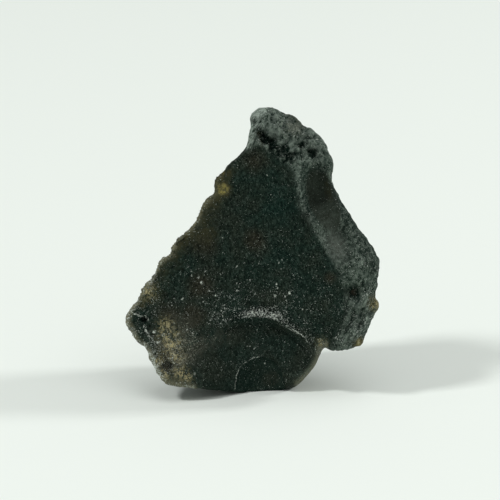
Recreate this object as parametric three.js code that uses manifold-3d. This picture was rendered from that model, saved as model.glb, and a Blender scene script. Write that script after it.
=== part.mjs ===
// A tektite: one broken piece of black natural glass, standing on a small flat spot of its underside.
// It is a single solid. A hollow fracture face fills most of the front, with a second, lower scar under a
// raised lip. The crown and the right flank keep the lumpy outer skin, the left edge is thin and scalloped by
// small flakes, and the back is a blunt dome of worn facets.
//
// The stone is laid out in a drawing plane: u runs to the right, v up and w out of the plane, towards the
// viewer. The plane then leans back by PLANE_TILT, and the underside is cut flat where the stone stands.
// Lengths are in mm.
import * as THREE from "three";
import { mergeVertices } from "three/addons/utils/BufferGeometryUtils.js";
import Module from "manifold-3d";

// Driving dimensions
const PLANE_TILT = THREE.MathUtils.degToRad(18); // how far the drawing plane leans back from upright
const SLOPE = Math.tan(THREE.MathUtils.degToRad(10)); // how far the middle surface comes forward, per mm of v
const BODY_DEPTH = 8; // from the middle surface to the deepest part of the back
const LEAST_THICKNESS = 0.35; // at the thinnest points of the edge
const EDGE_WEDGE = { least: 0.4, most: 0.9, swell: 0.14 }; // growth of the thickness inwards from the edge
const WEDGE_BLEND = 4; // how sharply the wedge of the edge meets the full thickness
const FLAT_SPOT_CUT = 1.5; // how deep the flat spot is cut into the underside

// How finely the surface is divided
const RIM_POINTS = 180; // around the outline
const FRONT_ROWS = 3; // from the rim to the front
const BACK_ROWS = 5; // from the rim to the back
const FINE_SPACING = 0.44; // over the outer skin and beside the lip
const FINE_REACH = { besideSkin: 0.6, underLip: 1, overLip: 1.8 }; // of the fine spacing, past those lines
const PLAIN_SPACING = 0.8; // over the smooth hollow face
const BACK_SPACING = 0.68;
const LINE_POINTS = { lip: 60, skin: 90 };
const LINE_ROWS = { lip: [-0.28, -0.56, -0.9], skin: [0.3, 0.6] }; // further rows of points beside the lines
const LINE_CLEARANCE = 0.23; // least gap from a point of a line to its neighbours
const GRID_CLEARANCE = 0.66; // the same for a point of a grid, as a share of its spacing
const JITTER = { share: 0.12, size: 0.7, seeds: [2, 4] }; // random shift of the grid points

// The outline in the drawing plane, clockwise from the tip of the crown, with the cusps of its edge.
const OUTLINE = [
  [0.8, 31.6], [2.1, 31.4], [3.0, 30.9], [4.1, 30.5], [4.8, 29.7], [5.5, 29.2], [6.0, 29.2], [6.5, 28.5],
  [7.3, 27.8], [7.9, 26.5], [8.4, 25.4], [8.3, 24.3], [8.3, 23.2], [8.8, 22.0], [9.5, 20.7],
  [10.3, 19.6], [11.2, 18.2], [12.2, 16.8], [13.2, 15.3], [13.6, 14.3], [13.5, 13.4], [13.3, 12.0],
  [13.1, 10.6], [13.4, 10.0], [13.4, 9.3], [13.2, 8.8], [12.7, 7.9], [12.4, 6.9], [11.9, 6.0],
  [11.6, 5.2], [10.8, 4.8], [10.1, 4.5], [9.4, 4.6], [8.7, 4.4], [8.0, 4.5], [7.5, 4.8], [7.1, 4.4],
  [6.8, 3.6], [6.4, 2.7], [5.7, 1.8], [4.8, 0.8], [4.1, 0.3], [2.5, -0.1], [0.5, -0.35], [-1.8, -0.3],
  [-4.0, 0.05], [-5.9, 0.3], [-7.2, 0.4], [-9.0, 0.6], [-10.3, 0.9], [-10.9, 1.6], [-11.4, 2.5],
  [-12.0, 3.6], [-12.2, 4.4], [-12.7, 5.1], [-13.6, 5.7], [-14.2, 6.6], [-14.7, 7.5], [-14.7, 8.1],
  [-14.2, 9.1], [-13.2, 10.3], [-12.9, 11.1], [-12.7, 11.7], [-11.9, 12.4], [-11.5, 13.0], [-11.2, 13.8],
  [-10.8, 14.5], [-9.8, 15.2], [-9.5, 16.0], [-9.1, 16.8], [-7.7, 17.8], [-7.0, 18.7], [-6.7, 19.3],
  [-6.3, 20.4], [-5.7, 21.3], [-4.9, 21.9], [-4.7, 22.6], [-4.7, 23.5], [-4.4, 24.0], [-3.9, 24.3],
  [-3.3, 24.9], [-2.4, 26.0], [-1.6, 27.1], [-1.2, 28.3], [-1.0, 29.4], [-0.8, 30.5], [-0.1, 31.2],
];
const CENTRE = new THREE.Vector2(-0.7, 15.1); // the whole outline can be seen from here

// The rim at some bearings from CENTRE, in degrees: how far it lies behind the front surface, the widths over
// which the front and the back roll over to it, and the most that the stone is thick there.
// A thin flaked edge has small values and a thick flank large ones.
const RIM = [
  { bearing: 5, drop: 2.6, frontRoll: 2.2, backRoll: 2.6, thickness: 12 },
  { bearing: 28, drop: 1.7, frontRoll: 1.1, backRoll: 2.4, thickness: 12 },
  { bearing: 42, drop: 1.0, frontRoll: 0.7, backRoll: 2.2, thickness: 12 },
  { bearing: 56, drop: 1.5, frontRoll: 1.2, backRoll: 2.4, thickness: 12 },
  { bearing: 74, drop: 2.5, frontRoll: 1.9, backRoll: 2.4, thickness: 12 },
  { bearing: 85, drop: 2.7, frontRoll: 1.8, backRoll: 2.2, thickness: 8 },
  { bearing: 91, drop: 2.2, frontRoll: 1.3, backRoll: 1.9, thickness: 5 },
  { bearing: 96, drop: 1.1, frontRoll: 0.8, backRoll: 1.4, thickness: 2.5 },
  { bearing: 108, drop: 0.35, frontRoll: 0.45, backRoll: 0.9, thickness: 0.5 },
  { bearing: 120, drop: 0.3, frontRoll: 0.45, backRoll: 0.8, thickness: 0.4 },
  { bearing: 170, drop: 0.3, frontRoll: 0.45, backRoll: 0.8, thickness: 0.4 },
  { bearing: 198, drop: 0.5, frontRoll: 0.7, backRoll: 0.9, thickness: 0.6 },
  { bearing: 209, drop: 0.8, frontRoll: 0.9, backRoll: 1.1, thickness: 1.2 },
  { bearing: 225, drop: 0.7, frontRoll: 0.9, backRoll: 1.6, thickness: 3 },
  { bearing: 240, drop: 0.4, frontRoll: 0.6, backRoll: 2.6, thickness: 6 },
  { bearing: 256, drop: 0.4, frontRoll: 0.5, backRoll: 2.6, thickness: 10 },
  { bearing: 266, drop: 0.7, frontRoll: 0.5, backRoll: 0.7, thickness: 12 },
  { bearing: 280, drop: 1.7, frontRoll: 0.7, backRoll: 0.5, thickness: 12 },
  { bearing: 291, drop: 2.2, frontRoll: 0.9, backRoll: 0.7, thickness: 12 },
  { bearing: 304, drop: 2.4, frontRoll: 0.9, backRoll: 1.8, thickness: 12 },
  { bearing: 316, drop: 2.2, frontRoll: 0.9, backRoll: 2.8, thickness: 12 },
  { bearing: 335, drop: 2.4, frontRoll: 1.8, backRoll: 2.2, thickness: 12 },
];
const EDGE_EASING = 5; // rim points on each side over which the notches of the edge die away behind it
const TOP_EASING = 3; // the same, for the height of the rim

// Ridges and steps of the front, each drawn from left to right or from top to bottom.
const LIP = [
  [-8.6, 4.6], [-7.7, 5.7], [-6.0, 6.6], [-4.1, 7.4], [-2.2, 8.0], [-0.3, 8.2], [1.2, 8.1], [2.6, 7.6],
  [4.0, 6.8], [5.2, 5.9], [6.1, 4.9], [6.7, 3.8], [7.0, 2.9],
];
const LIP_FADE = [-8.6, -4.1]; // the lip starts from nothing between these values of u
const LIP_SWELL = { height: 0.5, width: 1.1 }; // the raised welt above the lip
const SKIN_EDGE = [
  [-1.7, 27.2], [-0.2, 27.2], [1.1, 26.2], [2.7, 25.3], [3.8, 24.2], [4.3, 22.0], [4.7, 20.2], [5.6, 19.0],
  [6.5, 17.1], [7.4, 15.5], [8.3, 14.3], [8.8, 12.5], [9.4, 10.8], [9.4, 8.7], [8.8, 6.8], [7.8, 5.2],
  [7.8, 3.2],
];
// The outer skin, from its edge outwards: a rounded crest, then a growing fall, with lumps and some bosses.
const CREST = { rise: 0.3, width: 0.35 };
const SKIN_FALL = { slope: 0.16, bend: 0.022, smooth: 1.5 };
const BOSSES = [
  { at: [4.2, 29.0], size: 2.4, height: 0.6 },
  { at: [11.5, 13.8], size: 1.7, height: 0.6 },
  { at: [11.0, 5.9], size: 1.6, height: 0.4 },
];

// The big hollow face, a trough that runs along the right ridge: its height over the middle surface, the tilt
// and the curvature across it, and how far it curls up towards its upper and lower end.
const HOLLOW_FACE = {
  middle: [-3, 16],
  turn: THREE.MathUtils.degToRad(19.2), // of the trough from upright
  height: 2.1,
  tilt: 0.12,
  bend: { left: 0.008, right: 0.02 },
  curl: { upper: 0.45, lower: 0.9, reach: 9 },
};

// The low left corner of the stone swings forward off the floor: where, how far, and over what distance.
const LOW_CORNER = { at: [-9.5, 0], rise: 3, reach: 5 };

// The lower scar under the lip: its height over the middle surface, its curvature along u and v, the distance
// over which the lip falls to it, and the width of its worn meeting with the hollow face.
const LOWER_SCAR = { middle: [0.5, 3], height: 1.6, bend: [0.028, 0.012], step: 0.5, blend: 0.15 };

// Random lumps, from broad ones to fine ones: size across, height and seed.
const SKIN_GRAIN = [
  { size: 2.4, height: 0.25, seed: 3 },
  { size: 1.5, height: 0.12, seed: 8 },
];
const FACE_GRAIN = [{ size: 2.2, height: 0.03, seed: 5 }];
const BACK_GRAIN = [
  { size: 5.2, height: 0.35, seed: 31 },
  { size: 2.6, height: 0.24, seed: 11 },
  { size: 1.3, height: 0.13, seed: 17 },
];
const FLANK_WEAR = { size: 2.8, share: 0.15, seed: 21 }; // uneven rounding of the rolls behind the rim

// Shallow flake scars and pits: centre, half width, half height, turn in degrees and depth.
const SCOOPS = {
  skin: [
    { at: [6.5, 21.9], size: [2.1, 3.7], turn: 8, depth: 1.25 },
    { at: [9.2, 16.5], size: [2.1, 2.9], turn: 35, depth: 0.75 },
    { at: [10.7, 11.0], size: [1.1, 1.2], turn: 0, depth: 0.65 },
    { at: [1.6, 28.1], size: [1.9, 1.1], turn: -28, depth: 0.65 },
    { at: [5.6, 26.4], size: [1.3, 1.0], turn: 20, depth: 0.3 },
    { at: [11.3, 7.9], size: [1.0, 2.0], turn: 10, depth: 0.4 },
  ],
  face: [
    { at: [0.6, 0.9], size: [3.2, 3.1], turn: 0, depth: 0.6 },
    { at: [-12.9, 7.9], size: [0.9, 0.8], turn: 0, depth: 0.5 },
    { at: [-10.0, 2.4], size: [1.2, 1.0], turn: 20, depth: 0.4 },
    { at: [-10.6, 13.0], size: [1.5, 0.9], turn: 57, depth: 0.35 },
    { at: [-8.3, 16.3], size: [1.7, 0.8], turn: 50, depth: 0.3 },
    { at: [-12.3, 10.0], size: [1.2, 0.9], turn: 60, depth: 0.35 },
    { at: [-5.6, 20.4], size: [1.6, 0.8], turn: 60, depth: 0.25 },
  ],
  back: [
    { at: [3.5, 21.0], size: [3.4, 2.9], turn: 25, depth: 1.1 },
    { at: [8.2, 10.2], size: [2.3, 3.0], turn: -10, depth: 1.0 },
    { at: [-1.0, 6.6], size: [3.4, 2.4], turn: 15, depth: 0.9 },
    { at: [-6.6, 9.8], size: [2.9, 1.9], turn: 40, depth: 0.6 },
    { at: [2.6, 13.2], size: [1.5, 1.2], turn: 0, depth: 0.7 },
    { at: [-1.8, 16.4], size: [2.2, 1.4], turn: 50, depth: 0.6 },
    { at: [4.6, 26.8], size: [1.3, 1.1], turn: 0, depth: 0.5 },
    { at: [6.4, 16.0], size: [1.1, 1.2], turn: 0, depth: 0.6 },
  ],
};

// Facets of the back: depth behind the middle surface at a point, and its growth per mm along u and v.
const BACK_FACETS = [
  { at: [2.0, 13.0], depth: BODY_DEPTH, grow: [-0.1, -0.06] },
  { at: [-8.0, 17.5], depth: 0.2, grow: [0.78, -0.22] },
  { at: [-12.5, 4.2], depth: 0.0, grow: [0.7, 0.28] },
  { at: [0.8, 31.6], depth: 0.9, grow: [0.06, -0.75] },
  { at: [13.5, 12.5], depth: 1.6, grow: [-0.62, 0.08] },
  { at: [8.3, 24.0], depth: 2.2, grow: [-0.8, -0.42] },
  { at: [0.5, 0.0], depth: 5.5, grow: [0.55, 0.4] },
];
const FACET_BLEND = 1.1; // how wide the worn edges between the facets are

const FRESH = 1; // border of a flake scar, left crisp
const WORN = 1.5; // border of a pit, rounded by etching

const smoothstep = THREE.MathUtils.smoothstep;

const HASH = [127.1, 311.7, 74.7, 43758.5]; // turns whole coordinates into scattered numbers

// Smooth random lumps between -1 and 1, about `size` across.
function lumps(u, v, w, size, seed) {
  const at = [u / size + seed, v / size, w / size];
  const cell = at.map(Math.floor);
  const share = at.map((x, i) => smoothstep(x - cell[i], 0, 1));
  let sum = 0;
  for (let corner = 0; corner < 8; corner++) {
    const step = [corner & 1, (corner >> 1) & 1, corner >> 2];
    const scatter = Math.sin(step.reduce((total, s, i) => total + (cell[i] + s) * HASH[i], 0)) * HASH[3];
    const weight = step.reduce((product, s, i) => product * (s ? share[i] : 1 - share[i]), 1);
    sum += weight * (scatter - Math.floor(scatter));
  }
  return 2 * sum - 1;
}

// The sum of several layers of lumps.
function grain(u, v, layers) {
  return layers.reduce((sum, { size, height, seed }) => sum + height * lumps(u, v, 0, size, seed), 0);
}

// How deep a list of scoops cuts at a point. Each is a shallow bowl with a fresh or a worn border.
function scooped(u, v, scoops, border) {
  let depth = 0;
  for (const scoop of scoops) {
    const turn = THREE.MathUtils.degToRad(scoop.turn);
    const du = u - scoop.at[0];
    const dv = v - scoop.at[1];
    const across = (du * Math.cos(turn) + dv * Math.sin(turn)) / scoop.size[0];
    const along = (dv * Math.cos(turn) - du * Math.sin(turn)) / scoop.size[1];
    depth = Math.max(depth, scoop.depth * Math.max(1 - across ** 2 - along ** 2, 0) ** border);
  }
  return depth;
}

// A smooth line through hand-placed points, as many short steps.
function smoothLine(points, steps, closed = false) {
  const places = points.map(([u, v]) => new THREE.Vector3(u, v, 0));
  const path = new THREE.CatmullRomCurve3(places, closed, "centripetal");
  return path.getSpacedPoints(steps).map((p) => new THREE.Vector2(p.x, p.y));
}

const outline = smoothLine(OUTLINE, RIM_POINTS, true).slice(0, RIM_POINTS);
const lipLine = smoothLine(LIP, LINE_POINTS.lip);
const skinLine = smoothLine(SKIN_EDGE, LINE_POINTS.skin);

// The nearest point of a line, and the distance to it: positive on the line's left, as it is drawn.
function nearestOn(line, u, v) {
  const point = new THREE.Vector2(u, v);
  let found = { distance: Infinity };
  for (let i = 0; i + 1 < line.length; i++) {
    const run = line[i + 1].clone().sub(line[i]);
    const offset = point.clone().sub(line[i]);
    const share = THREE.MathUtils.clamp(offset.dot(run) / run.lengthSq(), 0, 1);
    const place = line[i].clone().addScaledVector(run, share);
    const distance = place.distanceTo(point);
    if (distance < found.distance) found = { distance, place, left: run.cross(offset) > 0 };
  }
  return { place: found.place, distance: found.left ? found.distance : -found.distance };
}

// A line beside another, at a distance to its left, as it is drawn.
function besideLine(line, gap) {
  return line.map((point, i) => {
    const run = line[Math.min(i + 1, line.length - 1)].clone().sub(line[Math.max(i - 1, 0)]).normalize();
    return new THREE.Vector2(point.x - gap * run.y, point.y + gap * run.x);
  });
}

// How far the low corner brings the stone forward at a point.
function cornerRise(u, v) {
  const { at, rise, reach } = LOW_CORNER;
  return rise * Math.exp(-((u - at[0]) ** 2 + (v - at[1]) ** 2) / reach ** 2);
}

// The big hollow face over the middle surface.
function hollowFace(u, v) {
  const { middle, turn, height, tilt, bend, curl } = HOLLOW_FACE;
  const du = u - middle[0];
  const dv = v - middle[1];
  const across = du * Math.cos(turn) + dv * Math.sin(turn);
  const along = du * Math.sin(turn) - dv * Math.cos(turn);
  const curve = (across > 0 ? bend.right : bend.left) * across ** 2;
  const rise = (along > 0 ? curl.lower : curl.upper) * (1 - Math.exp(-((along / curl.reach) ** 2)));
  return height + tilt * across + curve + rise + cornerRise(u, v);
}

// The outer skin over the middle surface: a rounded crest along its edge, and a lumpy fall beyond it.
function outerSkin(u, v, edge) {
  const { distance, place } = edge;
  const crest = CREST.rise * (1 - Math.exp(-distance / CREST.width));
  const fall = SKIN_FALL.slope * distance + SKIN_FALL.bend * distance ** 2;
  const rough = smoothstep(distance, 0, SKIN_FALL.smooth) * grain(u, v, SKIN_GRAIN);
  let height = hollowFace(place.x, place.y) + crest - fall + rough - scooped(u, v, SCOOPS.skin, WORN);
  for (const boss of BOSSES) {
    height += boss.height * Math.exp(-((u - boss.at[0]) ** 2 + (v - boss.at[1]) ** 2) / boss.size ** 2);
  }
  return height;
}

// The front surface over the middle one: the outer skin, the big hollow face, and the scar under its lip.
function frontHeight(u, v) {
  const edge = nearestOn(skinLine, u, v);
  if (edge.distance > 0) return outerSkin(u, v, edge);
  const over = nearestOn(lipLine, u, v).distance;
  const fade = smoothstep(u, LIP_FADE[0], LIP_FADE[1]);
  const swell = LIP_SWELL.height * fade * Math.exp(-((Math.max(over, 0) / LIP_SWELL.width) ** 2));
  let height = hollowFace(u, v) + swell;
  if (over < 0) {
    const { middle, height: low, bend, step, blend } = LOWER_SCAR;
    const curve = bend[0] * (u - middle[0]) ** 2 + bend[1] * (v - middle[1]) ** 2;
    const scar = low + curve + cornerRise(u, v);
    const drop = (height - scar) * (1 - Math.exp(-((over / step) ** 2)));
    height -= drop > 0 ? drop ** 2 / (drop + blend) : 0;
  }
  return height - scooped(u, v, SCOOPS.face, FRESH) + grain(u, v, FACE_GRAIN);
}

// The smaller of two depths, rounded off where the two are nearly the same.
function roundedMinimum(a, b) {
  const near = Math.max(FACET_BLEND - Math.abs(a - b), 0);
  return Math.min(a, b) - near ** 2 / (4 * FACET_BLEND);
}

// The back surface behind the middle one: the shallowest of the facets, with worn edges, scoops and lumps.
function backDepth(u, v) {
  let depth = Infinity;
  for (const { at, depth: base, grow } of BACK_FACETS) {
    depth = roundedMinimum(depth, base + grow[0] * (u - at[0]) + grow[1] * (v - at[1]));
  }
  return depth - scooped(u, v, SCOOPS.back, WORN) + grain(u, v, BACK_GRAIN);
}

// A value of RIM at a bearing, eased from one station to the next.
function rimValue(bearing, key) {
  const after = RIM.findIndex((station) => station.bearing > bearing);
  const next = RIM[after < 0 ? 0 : after];
  const last = RIM[(after < 0 ? RIM.length : after || RIM.length) - 1];
  const span = (next.bearing - last.bearing + 360) % 360;
  const share = smoothstep(((bearing - last.bearing + 360) % 360) / span, 0, 1);
  return THREE.MathUtils.lerp(last[key], next[key], share);
}

// Bearing of a point from CENTRE, in degrees anticlockwise from the right.
function bearingOf(u, v) {
  return (THREE.MathUtils.radToDeg(Math.atan2(v - CENTRE.y, u - CENTRE.x)) + 360) % 360;
}

// Mean of a list of numbers around a closed line, over each entry and its neighbours.
function eased(values, reach) {
  return values.map((_, i) => {
    let sum = 0;
    for (let j = i - reach; j <= i + reach; j++) sum += values[(j + values.length) % values.length];
    return sum / (2 * reach + 1);
  });
}

// The points around the outline, each with its height w. The shorter reach leaves the notches out.
function rimColumns() {
  const reaches = outline.map((point) => point.distanceTo(CENTRE));
  const least = reaches.map((_, i) => {
    let near = Infinity;
    for (let j = i - EDGE_EASING; j <= i + EDGE_EASING; j++) {
      near = Math.min(near, reaches[(j + RIM_POINTS) % RIM_POINTS]);
    }
    return near;
  });
  const shorter = eased(least, EDGE_EASING);
  const tops = eased(outline.map((point) => SLOPE * point.y + frontHeight(point.x, point.y)), TOP_EASING);
  return outline.map((point, i) => {
    const inward = CENTRE.clone().sub(point).normalize();
    const bearing = bearingOf(point.x, point.y);
    const rim = tops[i] - rimValue(bearing, "drop");
    return { point, inward, bearing, rim, notch: reaches[i] - shorter[i] };
  });
}

// The rows of one side, from the rim inwards: in section a quarter of an ellipse, drawn in further by wear.
function rollRows(columns, rowCount, key, surface, wear) {
  const rows = [];
  for (let row = 1; row <= rowCount; row++) {
    const angle = (Math.PI / 2) * (row / rowCount);
    rows.push(
      columns.map(({ point, inward, rim, bearing, notch }) => {
        const roll = rimValue(bearing, key);
        const uneven = 1 + lumps(point.x, point.y, row * FLANK_WEAR.size, FLANK_WEAR.size, FLANK_WEAR.seed);
        const worn = wear * Math.sin(angle) * (notch + FLANK_WEAR.share * roll * uneven);
        const place = point.clone().addScaledVector(inward, roll * (1 - Math.cos(angle)) + worn);
        const w = rim + (surface(place.x, place.y, rim) - rim) * Math.sin(angle);
        return new THREE.Vector3(place.x, place.y, w);
      }),
    );
  }
  return rows;
}

// The front surface, kept over the rim close by.
function frontSurface(u, v, rim = -Infinity) {
  return Math.max(SLOPE * v + frontHeight(u, v), rim + LEAST_THICKNESS / 2);
}

// The back surface, kept behind the front by a thickness that grows from the edge inwards.
function backSurface(u, v, rim = Infinity) {
  const inwards = Math.min(...outline.map((point) => Math.hypot(point.x - u, point.y - v)));
  const growth = EDGE_WEDGE.most * inwards + EDGE_WEDGE.swell * inwards ** 2;
  const most = rimValue(bearingOf(u, v), "thickness") + growth;
  const full = hollowFace(u, v) + backDepth(u, v);
  const smaller = (full * most) / (full ** WEDGE_BLEND + most ** WEDGE_BLEND) ** (1 / WEDGE_BLEND);
  const thickness = Math.max(smaller, LEAST_THICKNESS + EDGE_WEDGE.least * inwards);
  return Math.min(SLOPE * v + hollowFace(u, v) - thickness, rim - LEAST_THICKNESS);
}

// True if a point lies inside a closed line.
function inside(point, line) {
  let within = false;
  for (let i = 0, j = line.length - 1; i < line.length; j = i++) {
    const a = line[i];
    const b = line[j];
    if (a.y > point.y === b.y > point.y) continue;
    if (point.x < ((b.x - a.x) * (point.y - a.y)) / (b.y - a.y) + a.x) within = !within;
  }
  return within;
}

// Delaunay triangles over scattered points, made by adding one point at a time.
function triangulate(points) {
  const far = 1e4; // corners of a first triangle round all the points
  const all = [...points, { x: -far, y: -far }, { x: far, y: -far }, { x: 0, y: far }];
  const count = points.length;
  const circled = (a, b, c) => {
    const [p, q, r] = [all[a], all[b], all[c]];
    const twice = 2 * (p.x * (q.y - r.y) + q.x * (r.y - p.y) + r.x * (p.y - q.y));
    const [pp, qq, rr] = [p, q, r].map((s) => s.x * s.x + s.y * s.y);
    const x = (pp * (q.y - r.y) + qq * (r.y - p.y) + rr * (p.y - q.y)) / twice;
    const y = (pp * (r.x - q.x) + qq * (p.x - r.x) + rr * (q.x - p.x)) / twice;
    return { corners: [a, b, c], x, y, radiusSq: (p.x - x) ** 2 + (p.y - y) ** 2 };
  };
  let triangles = [circled(count, count + 1, count + 2)];
  for (let i = 0; i < count; i++) {
    const hole = new Map();
    const kept = [];
    for (const triangle of triangles) {
      if ((points[i].x - triangle.x) ** 2 + (points[i].y - triangle.y) ** 2 >= triangle.radiusSq) {
        kept.push(triangle);
        continue;
      }
      const [a, b, c] = triangle.corners;
      for (const [from, to] of [[a, b], [b, c], [c, a]]) {
        if (!hole.delete(`${to},${from}`)) hole.set(`${from},${to}`, [from, to]);
      }
    }
    for (const [from, to] of hole.values()) kept.push(circled(from, to, i));
    triangles = kept;
  }
  return triangles.map((triangle) => triangle.corners).filter((corners) => Math.max(...corners) < count);
}

// The points and triangles of the front or the back, inside its innermost roll row. Each grid lays points at
// its spacing, where it is wanted and where no earlier point is near.
function sheet(border, surface, lines, grids) {
  const flat = border.map((p) => ({ x: p.x, y: p.y, fixed: true }));
  const clear = (x, y, gap) => flat.every((p) => (p.x - x) ** 2 + (p.y - y) ** 2 > gap * gap);
  for (const line of lines) {
    for (const p of line) {
      if (inside(p, border) && clear(p.x, p.y, LINE_CLEARANCE)) flat.push({ x: p.x, y: p.y });
    }
  }
  const extent = new THREE.Box2().setFromPoints(border);
  const shift = (row, column, seed) => JITTER.share * lumps(row, column, 0, JITTER.size, seed);
  for (const { spacing, wanted } of grids) {
    const rowHeight = (spacing * Math.sqrt(3)) / 2;
    for (let row = 0; extent.min.y + row * rowHeight < extent.max.y; row++) {
      for (let column = 0; extent.min.x + column * spacing < extent.max.x; column++) {
        const x = extent.min.x + (column + (row % 2) / 2 + shift(row, column, JITTER.seeds[0])) * spacing;
        const y = extent.min.y + row * rowHeight + shift(row, column, JITTER.seeds[1]) * spacing;
        const free = inside({ x, y }, border) && clear(x, y, GRID_CLEARANCE * spacing);
        if (free && wanted(x, y)) flat.push({ x, y });
      }
    }
  }
  const corners = triangulate(flat).filter((triangle) => {
    const middle = { x: 0, y: 0 };
    for (const i of triangle) {
      middle.x += flat[i].x / 3;
      middle.y += flat[i].y / 3;
    }
    return inside(middle, border);
  });
  const points = flat.map((p, i) => (p.fixed ? border[i] : new THREE.Vector3(p.x, p.y, surface(p.x, p.y))));
  return { points, corners };
}

// The whole closed surface in the drawing plane, before the flat spot is cut.
function stoneSurface() {
  const columns = rimColumns();
  const rim = columns.map(({ point, rim: w }) => new THREE.Vector3(point.x, point.y, w));
  const frontRows = rollRows(columns, FRONT_ROWS, "frontRoll", frontSurface, 0);
  const backRows = rollRows(columns, BACK_ROWS, "backRoll", backSurface, 1);
  const positions = [];
  const add = (...points) => points.forEach((p) => positions.push(p.x, p.y, p.z));
  const addStrips = (rows, flip) => {
    for (let row = 0; row + 1 < rows.length; row++) {
      for (let i = 0; i < RIM_POINTS; i++) {
        const next = (i + 1) % RIM_POINTS;
        const [a, b, c, d] = [rows[row][i], rows[row][next], rows[row + 1][next], rows[row + 1][i]];
        if (flip) add(a, b, c, a, c, d);
        else add(a, c, b, a, d, c);
      }
    }
  };
  addStrips([rim, ...frontRows], false);
  addStrips([rim, ...backRows], true);
  const lines = [lipLine, skinLine];
  for (const gap of LINE_ROWS.lip) lines.push(besideLine(lipLine, gap));
  for (const gap of LINE_ROWS.skin) lines.push(besideLine(skinLine, gap));
  const busy = (u, v) => {
    const over = nearestOn(lipLine, u, v).distance;
    const byLip = over > -FINE_REACH.underLip && over < FINE_REACH.overLip;
    return byLip || nearestOn(skinLine, u, v).distance > -FINE_REACH.besideSkin;
  };
  const frontGrids = [
    { spacing: FINE_SPACING, wanted: busy },
    { spacing: PLAIN_SPACING, wanted: () => true },
  ];
  const front = sheet(frontRows.at(-1), frontSurface, lines, frontGrids);
  const back = sheet(backRows.at(-1), backSurface, [], [{ spacing: BACK_SPACING, wanted: () => true }]);
  for (const [a, b, c] of front.corners) add(front.points[a], front.points[b], front.points[c]);
  for (const [a, b, c] of back.corners) add(back.points[a], back.points[c], back.points[b]);
  return new THREE.BufferGeometry().setAttribute("position", new THREE.Float32BufferAttribute(positions, 3));
}

const MERGE_DISTANCE = 1e-4;
const FLOOR_BLOCK = 80; // side of the block that is cut away under the stone

const wasm = await Module();
wasm.setup();

// A closed geometry as a solid that can be cut.
function solidOf(geometry) {
  const bare = new THREE.BufferGeometry().setAttribute("position", geometry.getAttribute("position"));
  if (geometry.index) bare.setIndex(geometry.index);
  const merged = mergeVertices(bare, MERGE_DISTANCE);
  const mesh = new wasm.Mesh({
    numProp: 3,
    vertProperties: merged.attributes.position.array,
    triVerts: new Uint32Array(merged.index.array),
  });
  return new wasm.Manifold(mesh);
}

// A solid as a geometry for a mesh.
function geometryOf(solid) {
  const mesh = solid.getMesh();
  const geometry = new THREE.BufferGeometry();
  geometry.setAttribute("position", new THREE.BufferAttribute(mesh.vertProperties, 3));
  geometry.setIndex(new THREE.BufferAttribute(mesh.triVerts, 1));
  geometry.computeVertexNormals();
  return geometry;
}

// Stands the stone up, cuts the flat spot it rests on, and puts the middle of its footprint over the origin.
function standingStone() {
  const upright = stoneSurface().rotateX(Math.PI / 2 - PLANE_TILT);
  upright.computeBoundingBox();
  const floor = upright.boundingBox.min.z + FLAT_SPOT_CUT;
  const below = new THREE.BoxGeometry(FLOOR_BLOCK, FLOOR_BLOCK, FLOOR_BLOCK);
  below.translate(0, 0, floor - FLOOR_BLOCK / 2);
  const geometry = geometryOf(solidOf(upright).subtract(solidOf(below)));
  geometry.computeBoundingBox();
  const middle = geometry.boundingBox.getCenter(new THREE.Vector3());
  return geometry.translate(-middle.x, -middle.y, -floor);
}

const glass = new THREE.MeshStandardMaterial({ color: 0x171c1a, roughness: 0.45, metalness: 0 });
const stone = new THREE.Mesh(standingStone(), glass);
stone.name = "tektite";

const group = new THREE.Group();
group.name = "tektite_piece";
group.add(stone);

export default group;
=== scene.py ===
import itertools
import math
import bmesh
import bpy
import numpy as np
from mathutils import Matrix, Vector
from mathutils.bvhtree import BVHTree


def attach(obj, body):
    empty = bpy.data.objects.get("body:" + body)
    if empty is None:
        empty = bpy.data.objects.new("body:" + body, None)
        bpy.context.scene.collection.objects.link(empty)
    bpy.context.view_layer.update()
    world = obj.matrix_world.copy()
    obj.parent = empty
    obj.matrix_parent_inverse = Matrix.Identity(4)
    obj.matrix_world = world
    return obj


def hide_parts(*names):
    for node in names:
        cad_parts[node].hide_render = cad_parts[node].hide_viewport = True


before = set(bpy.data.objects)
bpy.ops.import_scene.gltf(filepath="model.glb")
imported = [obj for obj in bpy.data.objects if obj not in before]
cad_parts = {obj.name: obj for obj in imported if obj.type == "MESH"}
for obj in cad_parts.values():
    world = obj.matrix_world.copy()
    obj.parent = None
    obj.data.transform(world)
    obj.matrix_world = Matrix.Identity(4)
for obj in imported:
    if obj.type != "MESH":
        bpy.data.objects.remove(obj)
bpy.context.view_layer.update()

# ---------------------------------------------------------------------------------------------------------
# The stone: the blank.
# One broken piece of black natural glass, melted by an impact, chilled in flight and etched for ages in the
# ground. All of it is the same glass, so it is one closed skin, with the solid stone's shape worn smooth.
# ---------------------------------------------------------------------------------------------------------
MM = 0.001
SAME_PLACE = 1e-6  # m: points of the solid that lie closer together are one point
BLUNT_BEND = 14  # degrees: an edge of the solid that bends less is rounded off
SHARP_BEND = 30  # degrees: an edge that bends more stays sharp
GRAIN_MM = 0.157  # how finely the skin is divided
RUB_ROUNDS = 4
RUB_IN, RUB_OUT = 0.6, -0.62  # each round draws the skin in, and then back out
BACK_ROUNDS = 8
PUT_BACK = 1.4  # a little more than all that the rounding took off
PLANE_TILT = math.radians(18)  # the broad face was laid out on a plane that leans back this far
PLANE_SHIFT = (-0.5643, 2.4252, 0.2213)  # from the standing stone to that plane, in mm

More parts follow.
